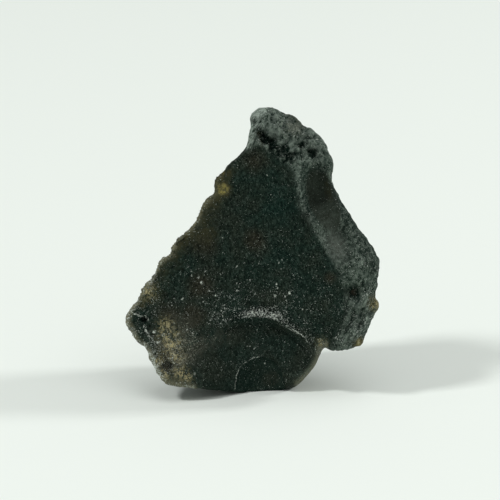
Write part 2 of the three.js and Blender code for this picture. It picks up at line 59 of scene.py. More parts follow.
rough_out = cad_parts["tektite"].data.copy()
shell = bmesh.new()
shell.from_mesh(rough_out)
bmesh.ops.remove_doubles(shell, verts=shell.verts, dist=SAME_PLACE)
crease = shell.edges.layers.float.new("crease_edge")
for edge in shell.edges:
    bent = math.degrees(edge.calc_face_angle(0))
    edge[crease] = min(max((bent - BLUNT_BEND) / (SHARP_BEND - BLUNT_BEND), 0), 1)
shell.to_mesh(rough_out)
shell.free()
rough_out.materials.clear()

solid = BVHTree.FromPolygons(
    [corner.co for corner in rough_out.vertices], [tuple(face.vertices) for face in rough_out.polygons]
)
stone = bpy.data.objects.new("tektite_stone", rough_out)
bpy.context.scene.collection.objects.link(stone)


def applied(obj):
    """Turns the object's modifiers into its own mesh."""
    depsgraph = bpy.context.evaluated_depsgraph_get()
    made = bpy.data.meshes.new_from_object(obj.evaluated_get(depsgraph))
    obj.modifiers.clear()
    old, obj.data = obj.data, made
    bpy.data.meshes.remove(old)


rounded = stone.modifiers.new("rounded", "SUBSURF")
rounded.levels = rounded.render_levels = 2
even = stone.modifiers.new("even", "REMESH")
even.mode = "VOXEL"
even.voxel_size = GRAIN_MM * MM
even.use_smooth_shade = True
applied(stone)


def points_and_facing():
    """The points of the skin, and where each of them looks."""
    places = np.zeros(len(stone.data.vertices) * 3)
    looks = np.zeros(len(stone.data.vertices) * 3, np.float32)
    stone.data.vertices.foreach_get("co", places)
    stone.data.vertex_normals.foreach_get("vector", looks)
    return places.reshape(-1, 3), looks.reshape(-1, 3).astype(float)


def joined_points():
    """The two ends of each edge of the skin, and how many edges meet in each point."""
    ends = np.zeros(len(stone.data.edges) * 2, np.int64)
    stone.data.edges.foreach_get("vertices", ends)
    return ends.reshape(-1, 2), np.bincount(ends, minlength=len(stone.data.vertices))


def evened(values, pull=0.5):
    """Each value drawn towards the mean of its neighbours on the skin."""
    one, other = ends.T
    sums = []
    for part in values.T:
        of_others = np.bincount(one, part[other], len(part))
        sums.append(of_others + np.bincount(other, part[one], len(part)))
    mean = np.stack(sums, axis=1) / meeting[:, None]
    return values + pull * (mean - values)


ends, meeting = joined_points()
skin_points, _ = points_and_facing()
for _ in range(RUB_ROUNDS):  # rubbed smooth without losing size
    skin_points = evened(evened(skin_points, RUB_IN), RUB_OUT)
lost = np.array([solid.find_nearest(Vector(place))[0] for place in skin_points]) - skin_points
for _ in range(BACK_ROUNDS):
    lost = evened(lost)
skin_points += lost * PUT_BACK
stone.data.vertices.foreach_set("co", skin_points.ravel())
stone.data.update()


def on_plane(points, turn_only=False):
    """Points or directions of the stone on its layout plane, in mm: right, up and towards the front."""
    x, y, z = (points if turn_only else points / MM + PLANE_SHIFT).T
    up = y * math.sin(PLANE_TILT) + z * math.cos(PLANE_TILT)
    out = z * math.sin(PLANE_TILT) - y * math.cos(PLANE_TILT)
    return np.stack([x, up, out], axis=1)


def eased(values, low, high):
    """0 up to low, 1 from high on, and a smooth rise between them."""
    share = np.clip((values - low) / (high - low), 0, 1)
    return share * share * (3 - 2 * share)


skin_points, normals = points_and_facing()
plane = on_plane(skin_points)
spots = plane[:, :2]
to_right, up = spots.T
forward = on_plane(normals, turn_only=True)[:, 2]
front = eased(forward, -0.1, 0.35)
outer = eased(forward, -0.6, -0.2)  # the front and the rim around it

# The rim is moved out a little at the left, and in at the shoulder below the top.
LEFT_OUT, ALL_IN, SHOULDER_IN = 0.16, 0.03, 0.34  # mm
leftward = 1 - eased(to_right, -0.8, 1.2)
shoulder = eased(up, 25.2, 26.4) * (1 - eased(up, 29.5, 30.8)) * leftward
sideways = LEFT_OUT * leftward - ALL_IN - SHOULDER_IN * shoulder
relief = sideways * (1 - forward ** 2)  # how far each point is moved outwards, in mm

# ---------------------------------------------------------------------------------------------------------
# The outer skin of the crown, the right flank and the back.
# It is the oldest surface of the glass: a rounded crest borders it at the front, and acid in the ground has
# etched it to grey lumps, furrows and pits.
# ---------------------------------------------------------------------------------------------------------


def beside(line, places):
    """How far each place lies from a line, positive at the left of its run, and its share along the line."""
    corners = np.asarray(line, float)
    nearest = np.full(len(places), np.inf)
    side = np.zeros(len(places))
    along = np.zeros(len(places))
    lengths = np.linalg.norm(np.diff(corners, axis=0), axis=1)
    gone = np.concatenate([[0], np.cumsum(lengths)])
    for i, (start, end) in enumerate(zip(corners[:-1], corners[1:])):
        run, offset = end - start, places - start
        share = np.clip(offset @ run / (run @ run), 0, 1)
        gap = np.linalg.norm(offset - share[:, None] * run, axis=1)
        closer = gap < nearest
        nearest[closer] = gap[closer]
        side[closer] = np.sign(run[0] * offset[closer, 1] - run[1] * offset[closer, 0])
        along[closer] = (gone[i] + share[closer] * lengths[i]) / gone[-1]
    return nearest * side, along


def chance(cells, seed):
    """A random number from 0 to 1 for each cell of a grid, the same at every run."""
    key = cells * (73856093, 19349663, 83492791)  # large primes scatter cells that lie side by side
    mixed = (key[:, 0] ^ key[:, 1] ^ key[:, 2] ^ (seed * 2654435761)) & 0xFFFFFFFF
    for turn, prime in ((15, 2246822519), (13, 3266489917)):
        mixed = ((mixed ^ (mixed >> turn)) * prime) & 0xFFFFFFFF
    return ((mixed ^ (mixed >> 16)) & 0xFFFF) / 0xFFFF


def in_cells(places, size, seed):
    """The grid cell that each place lies in, with cells of size mm, and how far into it."""
    at = places / np.asarray(size, float) + seed * 17.31
    cells = np.floor(at).astype(np.int64)
    return cells, at - cells


def lumps(places, size, seed):
    """Smooth random lumps between -1 and 1, about size mm across."""
    cells, share = in_cells(places, size, seed)
    share = share * share * (3 - 2 * share)
    total = np.zeros(len(places))
    for corner in itertools.product((0, 1), repeat=3):
        weight = np.where(np.array(corner) == 1, share, 1 - share).prod(axis=1)
        total += weight * chance(cells + corner, seed)
    return 2 * total - 1


def scallops(places, size, seed):
    """Bowls about size mm across that meet in sharp ridges: -0.3 in a bowl, up to 0.7 on a ridge."""
    cells, share = in_cells(places, size, seed)
    nearest = np.full(len(places), np.inf)
    for step in itertools.product((-1, 0, 1), repeat=3):
        middle = np.stack([chance(cells + step, seed + axis) for axis in (101, 202, 303)], axis=1)
        nearest = np.minimum(nearest, ((middle + step - share) ** 2).sum(axis=1))
    return np.minimum(nearest, 1) - 0.3


def patch(middle, reach, power=2, places=spots):
    """1 in the middle of a round patch and fading away around it; a higher power makes it flatter."""
    return np.exp(-np.hypot(*((places - middle) / reach).T) ** power)


def along_a_slant(across, along):
    """The places on the plane, measured across a slant, along it and towards the front."""
    return np.stack([spots @ across, spots @ along, plane[:, 2]], axis=1)


SKIN_EDGE = [
    (-1.7, 27.2), (-0.2, 27.2), (1.1, 26.2), (2.7, 25.3), (3.8, 24.2), (4.3, 22.0), (4.7, 20.2),
    (5.6, 19.0), (6.5, 17.1), (7.4, 15.5), (8.3, 14.3), (8.8, 12.5), (9.4, 10.8), (9.4, 8.7), (8.8, 6.8),
    (7.8, 5.2), (7.8, 3.2),
]
past_edge, _ = beside(SKIN_EDGE, spots)
ragged = past_edge + 0.35 * lumps(plane, 1.1, 2) * eased(up, 22.0, 25.0)
flank = eased(ragged, -0.15, 0.4) * outer
back = 1 - eased(forward, -0.35, 0.15)
crown = eased(up, 25.0, 27.0)
skin = np.clip(np.maximum(flank, back), 0, 1)

LEAN_ACROSS, LEAN_ALONG = (0.9, -0.44), (0.44, 0.9)
leaning = along_a_slant(LEAN_ACROSS, LEAN_ALONG)  # a slant whose top leans to the right
slanting = along_a_slant((0.94, 0.34), (-0.34, 0.94))  # and one whose top leans to the left
DARK_SCAR = ((14.0, 17.4), (1.75, 3.9))  # slanting middle and half widths of a flake scar that stayed dark
PALE_SCAR = ((13.7, 12.4), (1.35, 2.1))  # and of one that the acid turned grey


def within(scar):
    """1 on a scar and 0 away from it."""
    middle, reach = scar
    return (1 - eased(np.hypot(*((slanting[:, :2] - middle) / reach).T), 0.82, 1.0)) * flank


def ripples(struck_at, apart):
    """Rings that spread from where a flake was struck off, between -1 and 1, apart mm from one another."""
    return np.sin(np.hypot(*(spots - struck_at).T) * 2 * math.pi / apart)


# A layer of relief is its height in mm times its pattern, and a pattern takes its size in mm and a seed.
smooth = np.maximum(within(DARK_SCAR), within(PALE_SCAR))
knob = patch((10.8, 12.3), (1.3, 2.1), 4) * front  # a boss that stayed smoother
rough = skin * (1 - 0.9 * smooth) * (1 - 0.75 * knob)
fine_relief = 0.18 * scallops(plane, 0.6, 4) + 0.08 * lumps(plane, 0.3, 8)
relief += rough * (0.22 * scallops(plane, 1.3, 3) + (0.4 + 0.6 * front) * fine_relief)
facing_crown = crown * flank * (0.2 + 0.8 * front)
crown_relief = 0.24 * scallops(leaning, (1.1, 1.5, 1.2), 5) + 0.10 * scallops(leaning, (0.4, 0.9, 0.6), 6)
relief += facing_crown * crown_relief
eaten = eased(lumps(slanting, (1.0, 0.7, 0.9), 33) + 0.6 * lumps(plane, 0.45, 34), 0.15, 0.8)
relief -= facing_crown * 0.26 * eaten
relief += smooth * 0.03 * lumps(plane, 0.5, 9)
relief += within(PALE_SCAR) * 0.02 * ripples((8.2, 18.6), 0.5)


def dented(dents, places=spots):
    """How deep each point lies in round dents, given as middle, half width and depth in mm."""
    deepest = np.zeros(len(plane))
    for middle, reach, depth in dents:
        bowl = 1 - (np.hypot(*(places - middle).T) / reach) ** 2
        deepest = np.maximum(deepest, depth * np.clip(bowl, 0, 1))
    return deepest


def strayed_by(far, size, seeds):
    """The spots moved up to far mm in each direction, which gives ragged rims to what is laid out on them."""
    return spots + far * np.stack([lumps(plane, size, seed) for seed in seeds], axis=1)


HOLLOWS = [
    ((0.3, 28.7), 0.5, 0.4), ((0.8, 28.0), 0.7, 0.55), ((1.7, 27.2), 0.8, 0.5), ((1.9, 26.4), 0.7, 0.5),
    ((2.7, 27.1), 0.7, 0.6), ((3.2, 26.2), 0.55, 0.45), ((3.3, 25.4), 0.5, 0.35),
    ((4.7, 27.4), 0.45, 0.35), ((0.0, 29.9), 0.35, 0.3), ((6.0, 26.2), 0.35, 0.3),
    ((5.6, 28.2), 0.4, 0.25), ((4.6, 25.9), 0.35, 0.25),
]
DIMPLES = [((10.65, 11.0), 0.6, 0.10), ((11.6, 11.9), 0.35, 0.15), ((10.2, 4.6), 0.3, 0.2)]
BEADS = [
    ((0.4, 27.2), 0.28, 0.2), ((5.3, 27.1), 0.25, 0.2), ((9.5, 16.4), 0.2, 0.06),
    ((7.4, 23.4), 0.2, 0.06),
]
strayed = strayed_by(0.42, 0.45, (31, 32))
relief += (dented(BEADS) - dented(DIMPLES) - 0.75 * dented(HOLLOWS, strayed)) * front

# Furrows run down the column at the right.
column = eased(past_edge, 0.2, 0.8) * front * (1 - eased(up, 9.6, 11.5))
furrow_relief = 0.26 * lumps(leaning, (0.35, 3.0, 1.4), 7) + 0.16 * scallops(leaning, (0.6, 2.4, 1.2), 17)
relief += column * furrow_relief

# ---------------------------------------------------------------------------------------------------------
# The lip and the lower scar.
# A later blow from below took a thick flake off. Its scar ends upwards in a raised, crushed lip, and a last
# small flake left a nested scar in it, with ripples that spread from where it was struck.
# ---------------------------------------------------------------------------------------------------------
LIP = [
    (-8.6, 4.6), (-7.7, 5.7), (-6.0, 6.6), (-4.1, 7.4), (-2.2, 8.0), (-0.3, 8.2), (1.2, 8.1), (2.6, 7.6),
    (4.0, 6.8), (5.2, 5.9), (6.1, 4.9), (6.7, 3.8), (7.0, 2.9),
]
LIP_MIDDLE = 0.54  # the share along the lip at which its crushed band is highest
over_lip, along_lip = beside(LIP, spots)
off_middle = along_lip - LIP_MIDDLE
hollow_side = front * (1 - eased(past_edge, -0.3, 0.0))
high = 0.25 + 1.15 * np.exp(-(off_middle / 0.18) ** 2)  # height of the crushed band, in mm
ragged_lip = over_lip + 0.22 * lumps(leaning, (0.35, 0.9, 0.6), 13) * high
crushed_and_lit = eased(over_lip, -0.10, 0.10) * (1 - eased(ragged_lip, 0.35 * high, 1.3 * high))
crushed_and_lit *= hollow_side * (0.5 + 0.5 * np.exp(-(off_middle / 0.15) ** 2)) * eased(along_lip, 0.1, 0.35)
crushed_and_lit *= 1 - 0.45 * eased(along_lip, 0.70, 0.80)
relief += crushed_and_lit * (0.05 + 0.20 * scallops(plane, 0.5, 11) + 0.08 * lumps(plane, 0.26, 12))

NESTED_SCAR = [
    (-2.6, -0.6), (-2.4, 1.7), (-1.9, 2.7), (-1.0, 3.4), (0.6, 3.85), (1.7, 3.4), (2.6, 2.4), (2.9, 1.0),
]
NESTED_DEEP = 0.16  # mm
under_nested, _ = beside(NESTED_SCAR, spots)
nested = eased(-under_nested, -0.03, 0.12) * hollow_side * (over_lip < -1)
nested *= 1 - eased(np.hypot(*(spots - (0.6, 1.0)).T), 2.9, 3.4)
relief -= nested * NESTED_DEEP
relief += nested * 0.025 * ripples((0.9, 0.4), 0.42)
relief += hollow_side * (over_lip < -0.3) * 0.012 * ripples((1.0, -3.0), 0.9)

# ---------------------------------------------------------------------------------------------------------
# The flaked edge.
# The left edge is thin, and small flakes have sprung off it all the way down. Each left a shallow bowl that
# is open towards the edge, and sharp ridges stand between them.
# ---------------------------------------------------------------------------------------------------------
EDGE_FLAKES = [  # middle, half width and depth
    ((-2.2, 27.0), 0.9, 0.15), ((-4.4, 24.6), 1.0, 0.2), ((-5.4, 21.9), 0.8, 0.15),
    ((-6.7, 20.3), 1.0, 0.2), ((-7.3, 18.6), 0.8, 0.2), ((-8.9, 17.2), 1.2, 0.35),
    ((-9.9, 15.4), 0.8, 0.3), ((-11.1, 14.2), 0.9, 0.25), ((-11.7, 12.7), 0.9, 0.35),
    ((-12.8, 11.4), 0.9, 0.3), ((-13.5, 10.0), 1.0, 0.35), ((-14.5, 8.4), 0.7, 0.25),
    ((-14.4, 6.4), 0.9, 0.25), ((-12.9, 4.9), 0.9, 0.3), ((-12.0, 3.0), 1.0, 0.25),
    ((-11.0, 1.4), 0.9, 0.3), ((-10.3, 10.5), 0.6, 0.12), ((-10.0, 2.7), 0.7, 0.35),
]
TIP_NICKS = [((-12.6, 8.0), 0.45, 0.3), ((-12.1, 7.2), 0.3, 0.2), ((-11.7, 6.2), 0.3, 0.2)]
THIN_EDGE = [
    (-1.0, 29.4), (-1.6, 27.1), (-3.9, 24.3), (-4.7, 23.0), (-4.9, 21.9), (-6.3, 20.4), (-7.0, 18.7),
    (-9.1, 16.8), (-9.8, 15.2), (-10.8, 14.5), (-11.9, 12.4), (-12.9, 11.1), (-14.2, 9.1), (-14.7, 7.8),
    (-13.6, 5.7), (-12.2, 4.4), (-11.4, 2.5), (-10.3, 0.9), (-7.2, 0.4),
]
from_edge, along_edge = beside(THIN_EDGE, spots)
from_edge = np.abs(from_edge)
near_edge = np.exp(-from_edge / 0.9) * outer * (1 - flank)
corner = patch((-10.6, 3.6), 3.2, 4) * outer
corner_relief = 0.22 * scallops(leaning, (0.8, 1.4, 1.0), 18)
corner_relief += 0.12 * front * scallops(leaning, (0.4, 0.8, 0.5), 19)
relief -= (1.4 * dented(EDGE_FLAKES) + dented(TIP_NICKS)) * front
relief += near_edge * (0.20 * scallops(plane, 0.9, 15) + 0.06 * scallops(plane, 0.45, 16))
relief += corner * corner_relief
broken = front * (1 - skin)
broad_relief = 0.03 * lumps(plane, 2.6, 21) + 0.015 * lumps(plane, 0.8, 22)
relief += broken * (broad_relief + 0.02 * scallops(plane, 0.35, 23))

# The foot stays flat: the relief fades out above the floor, and no point goes below it.
FOOT = 0.03  # mm: points this near to the floor stay on it
floor_gap = skin_points[:, 2] / MM
relief *= eased(floor_gap, 0.05, 0.6)
moved = skin_points + normals * (relief * MM)[:, None]
moved[:, 2] = np.maximum(moved[:, 2], 0)
moved[floor_gap < FOOT, 2] = 0
stone.data.vertices.foreach_set("co", moved.ravel())
stone.data.update()

# ---------------------------------------------------------------------------------------------------------
# The pits of the outer skin.
# Where the glass was weakest the acid ate round pits, wide apart and deep, and many small ones between them.
# A tree scatters them over the skin and presses each one in along the surface.
# ---------------------------------------------------------------------------------------------------------


def marked(name, values):
    """Keeps a value for each point of the skin, for the pits and the glass to read."""
    layer = stone.data.attributes.get(name) or stone.data.attributes.new(name, "FLOAT", "POINT")
    layer.data.foreach_set("value", np.clip(values, 0, 1).astype(np.float32))


marked("pitted", rough * (1 - 0.75 * front))
marked("pit", np.zeros(len(plane)))

pitting = bpy.data.node_groups.new("etch_pits", "GeometryNodeTree")
PIT_INPUTS = (
    ("Skin", "Geometry"), ("Pits per square metre", "Float"), ("Widest half width", "Float"),
    ("Depth share", "Float"), ("Seed", "Int"), ("Glass", "Material"),
)
for label, kind in PIT_INPUTS:
    pitting.interface.new_socket(label, in_out="INPUT", socket_type="NodeSocket" + kind)
pitting.interface.new_socket("Skin", in_out="OUTPUT", socket_type="NodeSocketGeometry")


def node(tree, kind, feeds=(), **settings):
    """A node of a tree, set and fed."""
    made = tree.nodes.new(kind)
    for key, value in settings.items():
        setattr(made, key, value)
    for socket, source in dict(feeds).items():
        if isinstance(source, bpy.types.NodeSocket):
            tree.links.new(source, made.inputs[socket])
        else:
            made.inputs[socket].default_value = source
    return made


def reckoned(operation, one, other):
    """Two numbers of the pits' tree, reckoned into one."""
    return node(pitting, "ShaderNodeMath", {0: one, 1: other}, operation=operation).outputs[0]


def mark(name):
    """A value kept on the points that the pits' tree works on."""
    read = node(pitting, "GeometryNodeInputNamedAttribute", {"Name": name}, data_type="FLOAT")
    return read.outputs["Attribute"]


def noted(points, name, value):
    """Points with a value kept on them."""
    feeds = {"Geometry": points, "Name": name, "Value": value}
    return node(
        pitting, "GeometryNodeStoreNamedAttribute", feeds, data_type="FLOAT", domain="POINT",
    ).outputs[0]


def of_nearest(value, kind):
    """A value of the pit whose middle lies nearest to each point."""
    feeds = {"Geometry": sized, "Value": value, "Index": nearest}
    return node(pitting, "GeometryNodeSampleIndex", feeds, data_type=kind, domain="POINT").outputs[0]


given = node(pitting, "NodeGroupInput").outputs
where = node(pitting, "GeometryNodeInputPosition").outputs[0]
looks = node(pitting, "GeometryNodeInputNormal").outputs["Normal"]
middles = node(pitting, "GeometryNodeDistributePointsOnFaces", {
    "Mesh": given["Skin"], "Distance Min": reckoned("MULTIPLY", given["Widest half width"], 2.0),
    "Density Max": given["Pits per square metre"], "Density Factor": mark("pitted"), "Seed": given["Seed"],
}, distribute_method="POISSON").outputs["Points"]
SMALLEST_PIT = 0.35  # as a share of the widest
share_of_width = node(pitting, "FunctionNodeRandomValue", {
    2: SMALLEST_PIT, 3: 1.0, "Seed": given["Seed"],
}, data_type="FLOAT").outputs[1]
half_width = reckoned("MULTIPLY", given["Widest half width"], share_of_width)
sized = noted(middles, "half_width", half_width)
nearest = node(pitting, "GeometryNodeSampleNearest", {"Geometry": sized}, domain="POINT").outputs[0]
middle_at = of_nearest(where, "FLOAT_VECTOR")
width_at = of_nearest(mark("half_width"), "FLOAT")
gap = node(pitting, "ShaderNodeVectorMath", {0: where, 1: middle_at}, operation="DISTANCE").outputs["Value"]
bowl = node(pitting, "ShaderNodeMapRange", {
    "Value": reckoned("DIVIDE", gap, width_at), "From Min": 0.1, "From Max": 1.0,
    "To Min": 1.0, "To Max": 0.0,
}, interpolation_type="SMOOTHSTEP").outputs[0]
deep = reckoned("MULTIPLY", reckoned("MULTIPLY", bowl, given["Depth share"]), width_at)
press = node(pitting, "ShaderNodeVectorMath", {
    0: looks, "Scale": reckoned("MULTIPLY", deep, -1.0),
}, operation="SCALE").outputs[0]
pressed = node(pitting, "GeometryNodeSetPosition", {"Geometry": given["Skin"], "Offset": press}).outputs[0]
pressed = noted(pressed, "pit", reckoned("MAXIMUM", mark("pit"), bowl))
single = node(pitting, "GeometryNodeRealizeInstances", {"Geometry": pressed}).outputs[0]
dressed = node(pitting, "GeometryNodeSetMaterial", {"Geometry": single, "Material": given["Glass"]})
node(pitting, "NodeGroupOutput", {"Skin": dressed.outputs[0]})

tektite_glass = bpy.data.materials.new("etched_black_tektite_glass")
PIT_LAYERS = (  # name, pits per square metre, widest half width in mm, depth as a share of it, and seed
    ("wide_pits", 2.5e5, 0.6, 0.35, 7),
    ("small_pits", 3e6, 0.22, 0.4, 19),
)
socket_of = {item.name: item.identifier for item in pitting.interface.items_tree if item.in_out == "INPUT"}
for label, count, widest, depth_share, seed in PIT_LAYERS:
    layer = stone.modifiers.new(label, "NODES")
    layer.node_group = pitting
    layer[socket_of["Pits per square metre"]] = count
    layer[socket_of["Widest half width"]] = widest * MM
    layer[socket_of["Depth share"]] = depth_share
    layer[socket_of["Seed"]] = seed
    layer[socket_of["Glass"]] = tektite_glass
applied(stone)

# ---------------------------------------------------------------------------------------------------------
# What the ground and the light leave on the glass.
# The thin edge lets light through, painted brown at first and honey yellow at the thinnest spots. Clay has
# stayed in the rough low corner. The crushed lip and the crest are painted paler, partly as painted
# highlight, and hollows and gaps are darkened with painted shade.
# ---------------------------------------------------------------------------------------------------------
OPAQUE_MM = 20.0  # glass this thick lets no light through
CLEAR_MM = 1.3  # how fast the light fades with the thickness
UNDER_SKIN_MM = 0.02  # the depth from which the thickness is measured
GLOW_ROUNDS = 4  # how far the light spreads sideways
NEAR, WIDE = (5, 3.2), (38, 1.1)  # surroundings of a point: rounds of evening, and weight

skin_points, normals = points_and_facing()
tree_of_faces = BVHTree.FromPolygons(
    [Vector(place) for place in skin_points], [tuple(face.vertices) for face in stone.data.polygons]
)
through = np.full(len(skin_points), OPAQUE_MM)
for i, (place, way) in enumerate(zip(skin_points, normals)):
    inwards = Vector(way) * -1
    hit = tree_of_faces.ray_cast(Vector(place) + inwards * UNDER_SKIN_MM * MM, inwards)
    if hit[0] is not None:
        through[i] = hit[3] / MM
ends, meeting = joined_points()
glow = np.exp(-through / CLEAR_MM)[:, None]
for _ in range(GLOW_ROUNDS):
    glow = evened(glow)
glow = 0.75 * glow[:, 0] * (1 - 0.7 * eased(dented(EDGE_FLAKES), 0.15, 0.3))
glow *= 1 - 0.75 * patch((-13.2, 7.2), 3.2, 4)  # the low tip is thicker
glow *= 1 - 0.25 * eased(along_edge, 0.30, 0.42) - 0.35 * eased(along_edge, 0.42, 0.5)
WINDOWS = [  # middle, reach and strength of the spots that light comes through
    ((-3.9, 22.4), 0.75, 1.4), ((-5.9, 17.6), 1.6, 0.3), ((11.3, 5.2), 0.7, 0.9),
    ((13.0, 9.8), 0.9, 0.45), ((-12.2, 11.2), 0.6, 0.4), ((-9.3, 15.1), 0.6, 0.35),
    ((-13.0, 9.6), 0.6, 0.4),
]
for middle, reach, strength in WINDOWS:
    glow = np.maximum(glow, patch(middle, reach) * strength * eased(forward, -0.4, 0.2))
marked("thin", glow)

# How far a point lies below its near and its wider surroundings; the colour is darkened by it as painted
# shade.
around = skin_points
sunk = np.zeros(len(skin_points))
for rounds, weight in (NEAR, WIDE):
    for _ in range(rounds):
        around = evened(around)
    sunk += weight * ((around - skin_points) * normals).sum(axis=1) / MM
marked("sunk", 0.5 + sunk)


def band(line, half_width, power=2, places=spots):
    """1 on a line and fading away at both sides of it; a higher power makes it flatter."""
    return np.exp(-(beside(line, places)[0] / half_width) ** power)


def strongest(patches, places=spots):
    """The highest of several round patches at each point, given as middle and reach in mm."""
    most = np.zeros(len(plane))
    for middle, reach in patches:
        most = np.maximum(most, patch(middle, reach, places=places))
    return most


CLAY = [
    ((-10.3, 7.2), 0.8), ((-10.0, 6.1), 1.0), ((-9.6, 5.0), 1.0), ((-9.1, 4.0), 0.8), ((-11.2, 3.3), 0.6),
    ((-8.6, 2.0), 0.7), ((-7.8, 1.5), 0.5), ((-12.2, 11.0), 0.8), ((-10.4, 1.8), 0.6), ((7.1, 5.3), 0.5),
    ((13.1, 9.7), 0.7), ((11.4, 5.3), 0.5),
]
# Clay lies in the listed spots; the low right bevel is painted tan and pale as painted light.
lit_bevel = eased(-past_edge, 0, 0.4) * (1 - front) * eased(forward, -0.5, 0.0) * eased(to_right, 3.5, 5.5)
marked("clay_and_lit_bevel", strongest(CLAY) * eased(forward, -0.2, 0.3) + 0.8 * lit_bevel)

# The rims and faces that catch the lamps, painted as highlights, the crumbling, the hollowed places that get
# painted shade, and where each kind of skin lies.
BEVEL_EDGE = [(7.2, 5.0), (7.0, 4.3), (6.7, 3.2), (6.1, 2.2), (5.3, 1.3), (4.6, 0.7)]
LIT_CREST = [
    (4.3, 24.9), (4.3, 23.4), (4.6, 21.8), (4.8, 20.4), (5.8, 18.8), (6.8, 17.2), (7.8, 15.7),
    (8.7, 14.0),
]
LIT_SHOULDER = [(0.6, 31.3), (-0.4, 30.4), (-0.6, 29.4), (-0.8, 28.2), (-1.1, 27.2)]
CROWN_HOLLOW = [(0.1, 28.9), (0.8, 28.1), (1.6, 27.2), (2.4, 26.5), (3.4, 26.1)]
SHADED = [
    ((2.6, 27.1), 0.45), ((-0.6, 30.2), 0.3), ((3.6, 25.6), 0.4), ((4.8, 27.2), 0.35),
    ((10.65, 11.0), 0.42), ((-12.9, 7.9), 0.28), ((-10.2, 2.7), 0.5), ((-12.2, 6.9), 0.25),
    ((-9.2, 14.0), 0.4), ((11.6, 11.9), 0.3),
]
left_rim = np.exp(-(from_edge / 0.35) ** 2) * (1 - flank) * eased(along_edge, 0.12, 0.4)
lit_bevel_rim = band(BEVEL_EDGE, 0.42)
marked("lit_rim", np.maximum(0.8 * left_rim, lit_bevel_rim) * outer)
lit_crest = band(LIT_CREST, 0.35) * outer
lit_shoulder = band(LIT_SHOULDER, 0.5, 4) * outer
airy = facing_crown * (1 - eased(dented(HOLLOWS, strayed), 0.05, 0.3))
pale_and_lit = np.maximum(0.12 * lit_crest, 0.95 * lit_shoulder) + 0.10 * column + 0.24 * airy
marked("pale_and_lit", pale_and_lit + 0.6 * lit_bevel_rim * outer + 0.012 * eased(-over_lip, 0.1, 0.6) * hollow_side)
# The crest, the column's edge, the sparkly granules and the right rim get crumbs like the crushed lip, there
# as painted glints and painted highlight.
crest = flank * np.exp(-((past_edge - 0.25) / 0.3) ** 2)
beside_column = 0.40 * crest * (1 - eased(up, 10.5, 12.0))
granules = patch((5.4, 19.4), 0.9) * outer
right_rim_light = np.exp(-((to_right - 10.9 + 0.55 * (up - 17.5)) / 0.9) ** 2) * flank * (up > 13)
crumbs_and_lit_rims = crushed_and_lit + 0.20 * crest + beside_column + 0.5 * granules + 0.4 * right_rim_light
marked("crushed_and_lit", crumbs_and_lit_rims + 0.45 * lit_bevel_rim * outer)
hollowed = 0.9 * band(CROWN_HOLLOW, 0.62, 4, strayed)
marked("hollowed", np.maximum(hollowed, strongest(SHADED, strayed)) * front)
marked("skin", skin)
marked("furrowed", column)
marked("nested", nested)
marked("smooth", within(DARK_SCAR))
marked("buff", patch(PALE_SCAR[0], (1.1, 1.9), places=slanting[:, :2]) * flank)

# Brown hazes lie in the glass.
HAZES = [
    ((-5.8, 16.2), 1.8), ((-7.4, 8.3), 1.5), ((-0.4, 16.8), 1.2), ((1.4, 1.2), 1.0), ((8.0, 12.6), 0.8),
    ((-9.6, 8.4), 1.6), ((-9.8, 3.8), 2.0), ((-6.5, 11.5), 1.5), ((10.65, 11.0), 0.6),
    ((-0.4, 25.6), 1.6), ((4.0, 29.6), 1.6),
]
brown = 0.2 - 0.2 * patch((2.2, 19.5), (3.2, 5.5))
marked("brown", np.maximum(brown, strongest(HAZES)))

# Rims of small scars, cracks and chips shine in thin lines, painted as highlights.
NESTED_RIM = [(-2.6, 0.1), (-2.45, 1.0), (-2.4, 1.7), (-1.9, 2.7), (-1.0, 3.4), (-0.3, 3.7), (0.6, 3.85)]
HAIR_CRACK = [(3.1, 7.25), (4.2, 6.7), (5.1, 6.0), (5.5, 5.4)]
SECOND_CRACK = [(2.2, 7.5), (3.6, 6.7), (4.6, 6.3)]
SMALL_ARC = [(-0.5, 4.6), (0.0, 4.9), (0.4, 4.6)]
TIP_RIM = [(-13.7, 8.5), (-13.1, 8.3), (-12.6, 8.25), (-12.3, 7.9)]
TIP_RIDGE = [(-12.7, 7.2), (-12.4, 6.6), (-12.1, 6.0), (-11.5, 5.5)]
THIN_LINES = (  # line, strength and half width
    (NESTED_RIM, 0.62, 0.11), (HAIR_CRACK, 0.6, 0.09), (SECOND_CRACK, 0.55, 0.08),
    (SMALL_ARC, 0.65, 0.08), (TIP_RIM, 0.6, 0.14), (TIP_RIDGE, 0.6, 0.18),
)
wavering = strayed_by(0.12, 0.5, (41, 42))
thin_lines = np.zeros(len(plane))
for line, strength, half_width in THIN_LINES:
    thin_lines = np.maximum(thin_lines, strength * band(line, half_width, places=wavering))
thin_lines *= 0.65 + 0.35 * eased(lumps(plane, 0.7, 43), -0.4, 0.3)
